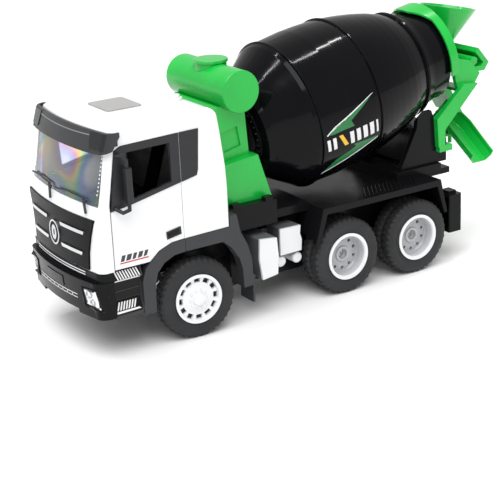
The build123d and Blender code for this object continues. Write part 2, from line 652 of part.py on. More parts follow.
def make_discharge_frame():
    """Green legs, the cross channel behind the drum and the trough down to the chute."""
    leg = side_plate([(-289, 112), (-287, 140), (-321, 170), (-338, 168), (-297, 128.5), (-297, 112)],
                     41, 46.5)
    foot = block((-306, -290), (41, 46.5), (107, 113))
    cheek = side_plate([(-318, 194), (-312, 180), (-318, 163), (-338, 166), (-345, 176), (-333, 190)], 36.5, 41)
    cheek -= turned_on_drum([(0, 100), (54, 100), (54, 178.05), (0, 178.05)])
    side = leg + foot + cheek
    bridge = block((-336, -322), (-41, 41), (160, 163))
    trough = side_plate([(-319, 166), (-320, 160), (-338, 132.6), (-345, 132.6), (-333, 152), (-326, 166)], -16, 16)
    trough -= side_plate([(-322, 170), (-323.5, 160), (-341, 131), (-350, 131), (-336, 152), (-329, 170)],
                         -13.5, 13.5)
    bar = block((-306, -303.1), (-46.5, 46.5), (107, 113))
    arm = block((-347, -303.1), (-7, 7), ARM_Z) + rod_z(CHUTE_X, 0, 6, ARM_Z[0] - 1, ARM_Z[1] + 0.8)
    frame = side + other_side(side) + make_cross_channel() + bridge + trough + bar + arm
    for sign in (-1, 1):
        frame += block((-306, -303.1), (sign * 16 - 2, sign * 16 + 2), (107, 132))
        frame += side_plate([(-306, 128), (-306, 133), (-326, 148), (-330, 144)], sign * 16 - 2, sign * 16 + 2)
    return frame - rod_z(CHUTE_X, 0, CHUTE_PIN_R + 0.09, 100, 125)


def make_cross_channel():
    """U-shaped channel lying across the truck, with a roller bar in it."""
    outline = [(-315.5, 192), (-330, 177), (-355, 176.5), (-360.5, 184), (-347, 199.5), (-343.2, 195.8)]
    outline += [(-353.5, 184.5), (-351, 181.5), (-333, 182), (-319.5, 195.5)]
    channel = side_plate(outline, -36.5, 36.5) - block((-336, -310), (-17, 17), (170, 200))
    bar = rod_y(-341.5, 187.5, 4.2, -36.5, 36.5)
    walls = side_plate([(-352, 181), (-333, 181), (-338, 192), (-346, 192)], -2, 2)
    return channel + bar + walls


def make_chute():
    """Open chute swung to the truck's left, on a vertical pin."""
    stations = [(-9.0, 127.0, 13.5), (12.0, 116.0, 14.5), (30.0, 103.5, 14.0), (47.0, 92.0, 13.5)]
    outer = []
    inner = []
    for y, z, half in stations:
        place = Plane(origin=(CHUTE_X, y, z), x_dir=(1, 0, 0), z_dir=(0, 0.86, -0.51))
        outer.append(place * chute_outline(half, 12.0))
        inner.append(place * Pos(0, -1.6) * chute_outline(half - 1.6, 12.0))
    collar = rod_z(CHUTE_X, 0, 4.2, ARM_Z[1] + 1.0, 120)
    channel = loft(outer, ruled=True) + collar - loft(inner, ruled=True)
    return channel + rod_z(CHUTE_X, 0, CHUTE_PIN_R, 98, ARM_Z[1] + 2)


def chute_outline(half, depth):
    """U-shaped section, open side towards local -Y."""
    line = Polyline((-half, -depth / 2), (-half, 0), (-half * 0.62, depth / 2), (half * 0.62, depth / 2),
                    (half, 0), (half, -depth / 2), close=True)
    return make_face(line)


# ---- wheels, axles, steering ---------------------------------------------------------
def tyre_profile(width, outer_r, bore_r):
    """Half-section of a tyre: rounded shoulders and two grooves in the tread."""
    half = width / 2
    return [(bore_r, -half + 2.0), (bore_r + 1.6, -half + 1.0), (outer_r - 7, -half), (outer_r - 3, -half + 0.5),
            (outer_r - 0.9, -half + 1.8), (outer_r, -half + 3.4), (outer_r, -1.9), (outer_r - 1.2, -1.9),
            (outer_r - 1.2, -0.9), (outer_r, -0.9), (outer_r, 0.9), (outer_r - 1.2, 0.9), (outer_r - 1.2, 1.9),
            (outer_r, 1.9), (outer_r, half - 3.4), (outer_r - 0.9, half - 1.8), (outer_r - 3, half - 0.5),
            (outer_r - 7, half), (bore_r + 1.6, half - 1.0), (bore_r, half - 2.0)]


def make_tyre(width):
    return turned(tyre_profile(width, TYRE_R, BEAD_R + 0.05))


def front_rim():
    """Front rim about Y, centred on the tyre: slotted disc with a bolted hub."""
    half = FRONT_TYRE_W / 2
    profile = [(RIM_LIP_R, half), (RIM_LIP_R, half - 0.9), (BEAD_R, half - 1.4), (BEAD_R, -half + 1.4),
               (BEAD_R - 1.8, -half + 1.4), (BEAD_R - 1.8, half - 5), (5.5, half - 5), (5.5, -2), (0, -2),
               (0, half + 0.4), (5.4, half + 0.4), (6.0, half - 1.2), (11.4, half - 1.6), (13.2, half - 2.4),
               (18.9, half - 2.4), (19.5, half)]
    rim = turned(profile)
    rim -= Pos(0, -2 + 5.5, 0) * Rot(90, 0, 0) * Cylinder(AXLE_R + RUNNING, 11.2)
    for i in range(12):
        slot = Pos(16.9, half - 3, 0) * Box(4.0, 8, 5.6)
        rim -= Rot(0, 30 * i, 0) * slot
    for i in range(10):
        nut = Pos(8.7, half - 1.2, 0) * Rot(90, 0, 0) * Cylinder(0.85, 1.8)
        rim += Rot(0, 36 * i, 0) * nut
    return rim


NAVE_DEPTH = 15.4           # from a rear rim's face to the bottom of its nave


def dual_rim():
    """Deep dished rim for a pair of twin tyres, outer face at y = 0, axle end sunk in its nave."""
    width = 2 * TWIN_TYRE_W + TWIN_GAP
    profile = [(RIM_LIP_R, 0), (RIM_LIP_R, -0.9), (BEAD_R, -1.4), (BEAD_R, -width + 1.4),
               (BEAD_R - 1.8, -width + 1.4), (BEAD_R - 1.8, -13), (7.6, -13), (7.6, -width + 4),
               (AXLE_R, -width + 4), (AXLE_R, -NAVE_DEPTH), (4.4, -NAVE_DEPTH), (4.9, -9.2), (7.2, -9.2), (7.8, -10.6),
               (16.4, -10.8), (17.4, -9.6), (18.9, -1.4), (19.5, 0)]
    rim = turned(profile)
    for i in range(10):
        hole = Pos(13.9, -11, 0) * Rot(90, 0, 0) * Cylinder(1.55, 6)
        rim -= Rot(0, 36 * i + 18, 0) * hole
    return rim


def axle_wheels(x):
    """Rims and tyres on one rear axle, both sides."""
    face = Pos(x, DUAL_FACE_Y, AXLE_Z)
    rim = face * dual_rim()
    tyres = []
    for i in range(2):
        y = -TWIN_TYRE_W / 2 - i * (TWIN_TYRE_W + TWIN_GAP)
        tyres.append(face * Pos(0, y, 0) * make_tyre(TWIN_TYRE_W))
    rims = Compound(children=[rim, other_side(rim)])
    return rims, Compound(children=tyres + [other_side(tyre) for tyre in tyres])


def make_axle(x):
    """Steel shaft with a screw head at each end."""
    reach = DUAL_FACE_Y - NAVE_DEPTH
    shaft = rod_y(x, AXLE_Z, AXLE_R, -reach, reach)
    for side in (-1, 1):
        head = rod_y(x, AXLE_Z, 3.4, side * (reach + 0.9) - 0.9, side * (reach + 0.9) + 0.9)
        shaft += head - rod_y(x, AXLE_Z, 1.2, side * (reach + 1.6) - 0.9, side * (reach + 1.6) + 0.9)
    return shaft


def steered(shape, side):
    """Turn a piece, made at x = 0, about its own kingpin to the angle the wheels stand at."""
    pin = Pos(FRONT_AXLE_X, side * KINGPIN_Y, 0)
    return pin * Rot(0, 0, REST_STEER) * Pos(0, -side * KINGPIN_Y, 0) * shape


def make_knuckle(side):
    """Steering knuckle: kingpin, stub axle and an arm to the tie rod."""
    body = rod_z(0, side * KINGPIN_Y, 4.0, 31, 43.6)
    pin = rod_z(0, side * KINGPIN_Y, KINGPIN_R, 43.5, 49.6)
    low, high = sorted((side * (KINGPIN_Y + 3), side * (FRONT_FACE_Y - 7.5)))
    stub = rod_y(0, AXLE_Z, AXLE_R, low, high)
    arm = block((-STEER_ARM - 2.2, 2), (side * KINGPIN_Y - 2.2, side * KINGPIN_Y + 2.2), (31, 33.5))
    drop = rod_z(-STEER_ARM, side * KINGPIN_Y, 1.3, 25.5, 31.5)
    return steered(body + pin + stub + arm + drop, side)


def tie_shift():
    """How far the tie rod stands to one side with the wheels turned."""
    return -STEER_ARM * math.sin(math.radians(REST_STEER))


def make_tie_rod():
    """Flat bar with a slotted eye at each end and one in the middle."""
    bar = block((-19.5, -14.5), (-KINGPIN_Y, KINGPIN_Y), (26.5, 29.5))
    for x, y in ((-17.1, -KINGPIN_Y), (-18.8, 0), (-17.1, KINGPIN_Y)):
        eye = Pos(x, y, 28) * extrude(SlotCenterToCenter(2.4, 6.2), amount=1.5, both=True)
        slot = Pos(x, y, 28) * extrude(SlotCenterToCenter(2.6, 3.6), amount=3, both=True)
        bar = bar + eye - slot
    return Pos(FRONT_AXLE_X, tie_shift(), 0) * bar


def make_servo():
    body = fillet(block((SERVO_X - 14, SERVO_X + 12), (-11, 11), (34.2, 50)).edges().filter_by(Axis.Z), 1)
    return body - rod_z(SERVO_X, 0, 2 + RUNNING, 30, 41)


def make_servo_horn():
    arm = block((SERVO_X, SERVO_X + STEER_ARM), (-2, 2), (31.2, 33.6))
    arm += rod_z(SERVO_X, 0, 3.5, 31.2, 33.6) + rod_z(SERVO_X, 0, 2, 33.5, 40.6)
    arm += rod_z(SERVO_X + STEER_ARM, 0, 2.4, 31.2, 33.6) + rod_z(SERVO_X + STEER_ARM, 0, 1.3, 25.5, 31.3)
    return Pos(SERVO_X, 0, 0) * Rot(0, 0, -REST_STEER) * Pos(-SERVO_X, 0, 0) * arm


# ---- drive and electrics ---------------------------------------------------------------
MOTOR_Z = AXLE_Z + (AXLE_TEETH + DRIVE_TEETH) * DRIVE_MODULE / 2
GEAR_Y = -14.0


def make_axle_gear():
    gear = spur_gear(AXLE_TEETH, DRIVE_MODULE, 4, AXLE_R, phase=90)
    return Pos(MID_AXLE_X, GEAR_Y, AXLE_Z) * Rot(90, 0, 0) * gear


def make_motor_pinion():
    gear = spur_gear(DRIVE_TEETH, DRIVE_MODULE, 4.6, 0.7, phase=90 + 180 / DRIVE_TEETH)
    shaft = Pos(0, 0, -7) * Cylinder(1.0, 18)
    return Pos(MID_AXLE_X, GEAR_Y, MOTOR_Z) * Rot(90, 0, 0) * (gear + shaft)


def make_drive_motor():
    case = rod_y(MID_AXLE_X, MOTOR_Z, 8.5, -8, 18)
    foot = block((MID_AXLE_X - 7, MID_AXLE_X + 7), (-6, 27.9), (MOTOR_Z + 5, MOTOR_Z + 9.5))
    return case + foot - rod_y(MID_AXLE_X, MOTOR_Z, 1.0 + RUNNING, -10, 3)


def make_battery():
    cells = [rod_y(x, 36, 7, -20, 20) for x in (-92, -107, -122, -137)]
    pack = cells[0]
    for cell in cells[1:]:
        pack += cell
    return pack + block((-137, -92), (-16, 16), (34, 38))


def make_battery_cover():
    plate = block((-151.8, -80.2), (-20.8, 20.8), (TUB_LOW_Z, TUB_LOW_Z + WALL))
    plate += block((-150, -82), (-19, 19), (TUB_LOW_Z + WALL, TUB_LOW_Z + WALL + 1))
    return plate


def make_circuit_board():
    board = block((-262, -196), (-22, 22), (60, 61.6))
    for x, y, size in ((-212, -8, 9), (-230, 9, 12), (-250, -6, 7)):
        board += block((x - size / 2, x + size / 2), (y - size / 2, y + size / 2), (61.6, 64))
    for y in (-24, 24):
        board += block((-262, -196), (y - 4, y + 4), (58.5, 60))
    return board


def make_switch():
    knob = block((-72, -68), (-2, 2), (TUB_LOW_Z + 0.3, 26.6))
    plate = block((-75, -65), (-4.5, 4.5), (24.3, 26.6))
    return knob + plate


def make_screws():
    """Pan-head screws sunk into the underside of the chassis."""
    low = TUB_LOW_Z + 0.2
    screws = []
    for x, y in SCREW_PLACES:
        head = rod_z(x, y, SCREW_R, low, TUB_LOW_Z + SCREW_SINK)
        head -= block((x - 1.4, x + 1.4), (y - 0.3, y + 0.3), (low - 0.1, low + 0.6))
        head -= block((x - 0.3, x + 0.3), (y - 1.4, y + 1.4), (low - 0.1, low + 0.6))
        screws.append(head)
    return Compound(children=screws)


# ---- write every node --------------------------------------------------------------------
save("chassis_frame", make_chassis())
save("bed_shell", make_bed())
save("cab_shell", make_cab_shell())
save("cab_interior", make_cab_interior())
save("steering_wheel", make_steering_wheel())
save("windshield", make_windshield())
save("sun_visor", make_sun_visor())
save("grille", make_grille())
save("grille_chrome", make_grille_chrome())
save("front_bumper", make_bumper())
save("headlights", both(make_headlight()))
save("wipers", Compound(children=[make_wiper(51), make_wiper(-8)]))
save("quarter_trims", both(make_quarter_trim()))
save("steps", both(make_step()))
save("fenders", both(make_fender()))
hatch = block((14.9, 48.1), (-19.3, 19.3), (ROOF_Z, ROOF_Z + 1.0))
save("roof_hatch", fillet(hatch.edges().filter_by(Axis.Z), 3))
save("side_boxes", both(make_side_box()))
save("box_faces", Compound(children=[make_box_face(), other_side(make_box_face())]))
tanks = [make_air_tank(x) for x in (-97.7, -115.4)]
save("air_tanks", Compound(children=tanks + [other_side(tank) for tank in tanks]))
save("rear_bumper", make_rear_bumper())
save("front_pedestal", make_front_pedestal())
save("water_tank", make_water_tank())
save("tank_cap", make_tank_cap())
save("rear_pedestal", make_rear_pedestal())
save("discharge_frame", make_discharge_frame())
save("hopper", make_hopper())
save("chute", make_chute())
save("drum_shell", make_drum_shell())
save("drum_gear", make_drum_gear())
save("drum_motor", make_drum_motor())
save("drum_pinion", make_drum_pinion())

for name, side in (("left", 1), ("right", -1)):
    door = make_door()
    frame = make_door_frame()
    mirror_arm = make_mirror()
    if side < 0:
        door, frame, mirror_arm = other_side(door), other_side(frame), other_side(mirror_arm)
    save("door_" + name, door)
    save("door_frame_" + name, frame)
    save("mirror_" + name, mirror_arm)
    save("knuckle_" + name, make_knuckle(side))
    wheel_y = FRONT_FACE_Y - FRONT_TYRE_W / 2
    place = Pos(0, side * wheel_y, AXLE_Z) * Rot(0, 0, 0 if side > 0 else 180)
    save("front_tyre_" + name, steered(place * make_tyre(FRONT_TYRE_W), side))
    save("front_rim_" + name, steered(place * front_rim(), side))

for name, x in (("mid", MID_AXLE_X), ("rear", REAR_AXLE_X)):
    rims, tyres = axle_wheels(x)
    save(name + "_axle", make_axle(x))
    save(name + "_rims", rims)
    save(name + "_tyres", tyres)

save("tie_rod", make_tie_rod())
save("steering_servo", make_servo())
save("servo_horn", make_servo_horn())
save("axle_gear", make_axle_gear())
save("drive_motor", make_drive_motor())
save("motor_pinion", make_motor_pinion())
save("battery_pack", make_battery())
save("battery_cover", make_battery_cover())
save("circuit_board", make_circuit_board())
save("power_switch", make_switch())
save("screws", make_screws())
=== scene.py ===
import json
import math

import bmesh
import bpy
from mathutils import Matrix, Vector
from mathutils.bvhtree import BVHTree
from mathutils.geometry import delaunay_2d_cdt

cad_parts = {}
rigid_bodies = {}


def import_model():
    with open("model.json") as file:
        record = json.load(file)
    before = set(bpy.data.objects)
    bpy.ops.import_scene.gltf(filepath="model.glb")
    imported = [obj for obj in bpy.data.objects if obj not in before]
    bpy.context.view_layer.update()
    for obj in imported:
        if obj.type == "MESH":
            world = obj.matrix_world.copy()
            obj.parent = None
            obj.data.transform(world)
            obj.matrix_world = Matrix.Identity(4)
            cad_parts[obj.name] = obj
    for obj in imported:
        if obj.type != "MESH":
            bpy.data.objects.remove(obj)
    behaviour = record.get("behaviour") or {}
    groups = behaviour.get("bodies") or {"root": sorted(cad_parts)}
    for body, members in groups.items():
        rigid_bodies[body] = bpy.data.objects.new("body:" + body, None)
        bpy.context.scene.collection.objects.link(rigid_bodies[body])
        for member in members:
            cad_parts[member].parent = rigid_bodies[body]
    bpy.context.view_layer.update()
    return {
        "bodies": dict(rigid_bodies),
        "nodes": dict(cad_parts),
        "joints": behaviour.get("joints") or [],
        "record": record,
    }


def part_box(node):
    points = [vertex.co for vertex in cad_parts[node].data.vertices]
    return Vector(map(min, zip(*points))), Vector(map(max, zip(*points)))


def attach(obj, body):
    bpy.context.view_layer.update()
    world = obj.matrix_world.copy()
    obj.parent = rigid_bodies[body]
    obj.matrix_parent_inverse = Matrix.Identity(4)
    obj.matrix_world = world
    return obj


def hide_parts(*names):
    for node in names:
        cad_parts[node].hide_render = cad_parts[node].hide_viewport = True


# Looks of the toy cement mixer truck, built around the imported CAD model.
# Sizes are written in millimetres, with x measured from a point over the front axle:
# at() turns such a point into the model's own frame, in metres.

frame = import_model()
nodes = frame["nodes"]

MM = 0.001
MID_AXLE_X = -163.2         # the middle and the rear axle
REAR_AXLE_X = -245.5
AXLE_Z = 36.0

mid_low, mid_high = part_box("mid_axle")
FRONT_X = (mid_low.x + mid_high.x) / 2 - MID_AXLE_X * MM


def at(x, y, z):
    """Point given in millimetres, x from the point over the front axle."""
    return Vector((x * MM + FRONT_X, y * MM, z * MM))


# ---- camera -------------------------------------------------------------------
CAMERA_AT = (534.8, 1011.0, 474.2)
CAMERA_YAW = -122.03677
CAMERA_DOWN = 20.0591
CAMERA_ROLL = -2.64125
CAMERA_LENS = 97.16


def make_camera():
    yaw, down, roll = (math.radians(v) for v in (CAMERA_YAW, CAMERA_DOWN, CAMERA_ROLL))
    ahead = Vector((math.cos(yaw) * math.cos(down), math.sin(yaw) * math.cos(down), -math.sin(down)))
    right = ahead.cross(Vector((0, 0, 1))).normalized()
    up = right.cross(ahead)
    turned_right = math.cos(roll) * right + math.sin(roll) * up
    turned_up = -math.sin(roll) * right + math.cos(roll) * up
    data = bpy.data.cameras.new("camera")
    data.lens = CAMERA_LENS
    data.sensor_width = 36
    data.clip_start = 0.01
    data.clip_end = 50
    camera = bpy.data.objects.new("camera", data)
    bpy.context.scene.collection.objects.link(camera)
    turn = Matrix((turned_right, turned_up, -ahead)).transposed()
    camera.matrix_world = Matrix.Translation(at(*CAMERA_AT)) @ turn.to_4x4()
    bpy.context.scene.camera = camera


# ---- materials ------------------------------------------------------------------
def new_material(name):
    material = bpy.data.materials.new(name)
    material.use_nodes = True
    tree = material.node_tree
    return material, tree, tree.nodes["Principled BSDF"]


def noise(tree, scale, detail=3.0, stretch=(1, 1, 1)):
    """Noise in the truck's own frame, so that it stays on a piece that moves."""
    coord = tree.nodes.new("ShaderNodeTexCoord")
    mapping = tree.nodes.new("ShaderNodeMapping")
    mapping.inputs["Scale"].default_value = stretch
    texture = tree.nodes.new("ShaderNodeTexNoise")
    texture.inputs["Scale"].default_value = scale
    texture.inputs["Detail"].default_value = detail
    tree.links.new(coord.outputs["Object"], mapping.inputs["Vector"])
    tree.links.new(mapping.outputs["Vector"], texture.inputs["Vector"])
    return texture.outputs["Fac"]


def ramp(tree, value, stops):
    """Colour ramp from (place, colour) stops."""
    node = tree.nodes.new("ShaderNodeValToRGB")
    elements = node.color_ramp.elements
    while len(elements) < len(stops):
        elements.new(0.5)
    for element, (place, colour) in zip(elements, stops):
        element.position = place
        element.color = (*colour, 1)
    tree.links.new(value, node.inputs["Fac"])
    return node.outputs["Color"]


def spread(tree, value, low, high):
    node = tree.nodes.new("ShaderNodeMapRange")
    node.inputs["From Min"].default_value = 0.3
    node.inputs["From Max"].default_value = 0.7
    node.inputs["To Min"].default_value = low
    node.inputs["To Max"].default_value = high
    tree.links.new(value, node.inputs["Value"])
    return node.outputs["Result"]


def relief(tree, height, depth, strength, round_edge):
    """Bump on top of softly rounded edges."""
    bump = tree.nodes.new("ShaderNodeBump")
    bump.inputs["Strength"].default_value = strength
    bump.inputs["Distance"].default_value = depth
    tree.links.new(height, bump.inputs["Height"])
    if round_edge:
        bevel = tree.nodes.new("ShaderNodeBevel")
        bevel.samples = 4
        bevel.inputs["Radius"].default_value = round_edge
        tree.links.new(bevel.outputs["Normal"], bump.inputs["Normal"])
    return bump.outputs["Normal"]


def plastic(name, colour, rough, vary=0.06, grain=2500, bump=0.15, coat=0.0, round_edge=0.0005,
            metallic=0.0, specular=0.5):
    """Moulded plastic: cloudy colour, uneven gloss, a fine moulded grain and soft edges."""
    material, tree, bsdf = new_material(name)
    cloud = noise(tree, 22, 4)
    dark = tuple(c * (1 - vary) for c in colour)
    light = tuple(min(1, c * (1 + vary)) for c in colour)
    tree.links.new(ramp(tree, cloud, [(0.3, dark), (0.7, light)]), bsdf.inputs["Base Color"])
    smear = noise(tree, 60, 5, (1, 1, 2.5))
    tree.links.new(spread(tree, smear, rough * 0.85, rough * 1.2), bsdf.inputs["Roughness"])
    fine = noise(tree, grain, 2)
    tree.links.new(relief(tree, fine, 0.00004, bump, round_edge), bsdf.inputs["Normal"])
    bsdf.inputs["Coat Weight"].default_value = coat
    bsdf.inputs["Coat Roughness"].default_value = 0.06
    bsdf.inputs["Metallic"].default_value = metallic
    bsdf.inputs["Specular IOR Level"].default_value = specular
    return material


def make_dual_rim():
    """Moulded white twin rim: white lip and hub face, with painted shade on the wall between them, grey deep
    in and lighter grey near the opening.
    """
    material, tree, bsdf = new_material("dual_rim_painted_shade")
    coord = tree.nodes.new("ShaderNodeTexCoord")
    split = tree.nodes.new("ShaderNodeSeparateXYZ")
    tree.links.new(coord.outputs["Object"], split.inputs["Vector"])
    outward = tree.nodes.new("ShaderNodeMath")
    outward.operation = "ABSOLUTE"
    tree.links.new(split.outputs["Y"], outward.inputs[0])
    depth = tree.nodes.new("ShaderNodeMapRange")
    depth.inputs["From Min"].default_value = 0.045
    depth.inputs["From Max"].default_value = 0.070
    tree.links.new(outward.outputs["Value"], depth.inputs["Value"])
    # The two greys are painted shade: the white rim's inner wall is drawn grey where it lies in shadow, and
    # lighter towards the opening.
    hub, barrel_shade, mouth_shade, lip = (0.80, 0.81, 0.82), (0.40, 0.405, 0.42), (0.52, 0.525, 0.54), (0.80, 0.81, 0.82)
    stops = [(0.0, hub), (0.36, hub), (0.42, barrel_shade), (0.80, mouth_shade), (0.86, lip)]
    tree.links.new(ramp(tree, depth.outputs["Result"], stops), bsdf.inputs["Base Color"])
    smear = noise(tree, 60, 4)
    tree.links.new(spread(tree, smear, 0.2, 0.3), bsdf.inputs["Roughness"])
    tree.links.new(relief(tree, noise(tree, 2500, 2), 0.00004, 0.05, 0.0004), bsdf.inputs["Normal"])
    bsdf.inputs["Coat Weight"].default_value = 0.3
    return material


def blend_colours(tree, share, first, second):
    """Mix of two colours, each a tuple or a socket."""
    node = tree.nodes.new("ShaderNodeMix")
    node.data_type = "RGBA"
    if isinstance(share, float):
        node.inputs["Factor"].default_value = share
    else:
        tree.links.new(share, node.inputs["Factor"])
    for socket, colour in ((node.inputs["A"], first), (node.inputs["B"], second)):
        if isinstance(colour, tuple):
            socket.default_value = (*colour, 1)
        else:
            tree.links.new(colour, socket)
    return node.outputs["Result"]


def make_glass():
    """Clear pane with the rainbow bands that moulding leaves in it, strongest where it clouds."""
    material, tree, bsdf = new_material("pane_clear")
    bands = noise(tree, 15, 0.6, (1, 1, 1.3))
    grey = (0.78, 0.81, 0.85)
    stops = [(0.38, grey), (0.43, (0.14, 0.20, 0.85)), (0.465, (0.45, 0.12, 0.62)),
             (0.495, (0.95, 0.35, 0.08)), (0.525, (0.90, 0.80, 0.12)), (0.555, (0.12, 0.62, 0.42)),
             (0.59, (0.12, 0.25, 0.80)), (0.64, grey)]
    rainbow = ramp(tree, bands, stops)
    patches = noise(tree, 19, 0.8)
    where = spread(tree, patches, 0.0, 0.85)
    tree.links.new(blend_colours(tree, where, grey, rainbow), bsdf.inputs["Base Color"])
    tree.links.new(spread(tree, patches, 0.98, 0.82), bsdf.inputs["Transmission Weight"])
    haze = noise(tree, 40, 3)
    tree.links.new(spread(tree, haze, 0.02, 0.06), bsdf.inputs["Roughness"])
    bsdf.inputs["IOR"].default_value = 1.42
    return material


def make_drum_black():
    """High-gloss black with the wall's slight waviness in its reflections."""
    material, tree, bsdf = new_material("drum_black")
    cloud = noise(tree, 18, 3)
    stops = [(0.3, (0.0018, 0.0018, 0.0026)), (0.7, (0.0032, 0.0032, 0.0042))]
    tree.links.new(ramp(tree, cloud, stops), bsdf.inputs["Base Color"])
    smear = noise(tree, 45, 5, (2.2, 1, 1))
    tree.links.new(spread(tree, smear, 0.08, 0.14), bsdf.inputs["Roughness"])
    waves = noise(tree, 30, 2)
    tree.links.new(relief(tree, waves, 0.0006, 0.10, 0.0004), bsdf.inputs["Normal"])
    bsdf.inputs["Specular IOR Level"].default_value = 0.13
    return material


MATERIALS = {
    "chassis_black": plastic("chassis_black", (0.0062, 0.0064, 0.0072), 0.22, bump=0.2, specular=0.13),
    "cab_white": plastic("cab_white", (0.83, 0.84, 0.85), 0.24, vary=0.015, coat=0.3, bump=0.05),
    "trim_black": plastic("trim_black", (0.019, 0.0195, 0.0215), 0.36, bump=0.3, specular=0.35),
    "bumper_black": plastic("bumper_black", (0.0040, 0.0042, 0.0050), 0.22, bump=0.2, specular=0.14),
    "trim_grey": plastic("trim_grey", (0.030, 0.031, 0.034), 0.34, bump=0.3, specular=0.4),
    "hatch_grey": plastic("hatch_grey", (0.36, 0.355, 0.345), 0.5, bump=0.6, grain=1500, vary=0.05),
    "interior_black": plastic("interior_black", (0.006, 0.006, 0.007), 0.5, bump=0.4, grain=900,
                              specular=0.3),
    "window_clear": make_glass(),
    "lamp_clear": plastic("lamp_clear", (0.80, 0.82, 0.84), 0.10, metallic=0.85, coat=0.8, grain=420,
                          bump=1.0),
    "plated": plastic("plated", (0.60, 0.61, 0.63), 0.20, vary=0.08, metallic=1.0, bump=0.05,
                      round_edge=0.0003),
    "box_grey": plastic("box_grey", (0.11, 0.113, 0.12), 0.34, specular=0.4),
    "box_white": plastic("box_white", (0.76, 0.77, 0.78), 0.22, vary=0.02, coat=0.3),
    "mixer_green": plastic("mixer_green", (0.006, 0.45, 0.05), 0.24, vary=0.08, coat=0.25, bump=0.06,
                           specular=0.4),
    "drum_black": make_drum_black(),
    "gear_nylon": plastic("gear_nylon", (0.72, 0.69, 0.6), 0.42),
    "motor_case": plastic("motor_case", (0.6, 0.6, 0.6), 0.3, metallic=1.0),
    "servo_black": plastic("servo_black", (0.02, 0.02, 0.022), 0.42),
    "tyre": plastic("tyre", (0.026, 0.0265, 0.028), 0.55, vary=0.2, grain=1400, bump=0.4, specular=0.25),
    "rim_white": plastic("rim_white", (0.80, 0.81, 0.82), 0.2, vary=0.02, coat=0.4, bump=0.04),
    "rim_silver": plastic("rim_silver", (0.66, 0.67, 0.68), 0.24, vary=0.04, coat=0.3, bump=0.05),
    "steel": plastic("steel", (0.5, 0.5, 0.51), 0.28, metallic=1.0),
    "steering_black": plastic("steering_black", (0.02, 0.02, 0.02), 0.45),
    "battery_wrap": plastic("battery_wrap", (0.03, 0.1, 0.38), 0.2),
    "board_green": plastic("board_green", (0.01, 0.14, 0.05), 0.35),
}


def ink(name, colour, rough, vary):
    """Thin print: hardly any grain, and edges too fine to round much."""
    return plastic(name, colour, rough, vary=vary, bump=0.1, round_edge=0.0001)


PRINT_WHITE = ink("print_white", (0.78, 0.78, 0.78), 0.35, 0.04)
PRINT_GREEN = ink("print_green", (0.006, 0.16, 0.035), 0.3, 0.25)
PRINT_YELLOW = ink("print_yellow", (0.80, 0.47, 0.02), 0.35, 0.1)
PRINT_GREY = ink("print_grey", (0.035, 0.04, 0.045), 0.4, 0.2)
PRINT_RED = ink("print_red", (0.55, 0.03, 0.03), 0.4, 0.15)
PRINT_GREY_LIGHT = ink("print_grey_light", (0.22, 0.225, 0.235), 0.3, 0.1)
GLOSS_BLACK = plastic("gloss_black", (0.005, 0.005, 0.006), 0.12, vary=0.2, bump=0.05, round_edge=0.0003,
                      specular=0.2)
CAP_GREY = plastic("cap_grey", (0.017, 0.0175, 0.019), 0.16, bump=0.1, round_edge=0.0004, specular=0.35)
LENS_RED = plastic("lens_red", (0.45, 0.01, 0.01), 0.12, coat=0.6, grain=500, bump=0.8, round_edge=0.0003)


GRILLE_BLACK = plastic("grille_black", (0.0035, 0.0037, 0.0040), 0.30, bump=0.2, specular=0.08)
DUAL_RIM = make_dual_rim()
# nodes that look different from the rest of their slot
OWN_FINISH = {"grille": GRILLE_BLACK, "fenders": MATERIALS["trim_grey"], "steps": MATERIALS["trim_grey"],
              "mid_rims": DUAL_RIM, "rear_rims": DUAL_RIM, "drum_gear": MATERIALS["steering_black"]}


def dress_nodes():
    """Give every CAD node its own finish, or that of its slot."""
    finish_of = {entry["node"]: entry["material_slot"] for entry in frame["record"]["subparts"]}
    for name, node in nodes.items():
        for place in node.material_slots:
            place.link = "OBJECT"
            place.material = OWN_FINISH.get(name, MATERIALS[finish_of[name]])


# ---- pieces ---------------------------------------------------------------------
def piece(name, corners, faces, body, material):
    """A mesh piece that rides on a body, with its faces turned outwards."""
    mesh = bpy.data.meshes.new(name)
    mesh.from_pydata([tuple(corner) for corner in corners], [], faces)
    shape = bmesh.new()
    shape.from_mesh(mesh)
    bmesh.ops.recalc_face_normals(shape, faces=shape.faces)
    shape.to_mesh(mesh)
    shape.free()
    mesh.materials.append(material)
    made = bpy.data.objects.new(name, mesh)
    bpy.context.scene.collection.objects.link(made)
    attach(made, body)
    return made


def surface_of(node):
    """Search tree over a CAD node's faces, for laying prints on it."""
    mesh = nodes[node].data
    corners = [vertex.co.copy() for vertex in mesh.vertices]
    return BVHTree.FromPolygons(corners, [tuple(face.vertices) for face in mesh.polygons])


def inside(point, outline):
    """Whether a plane point is inside a closed outline."""
    hit = False
    for (x1, y1), (x2, y2) in zip(outline, outline[1:] + outline[:1]):
        if (y1 > point[1]) != (y2 > point[1]):
            if point[0] < x1 + (x2 - x1) * (point[1] - y1) / (y2 - y1):
                hit = not hit
    return hit


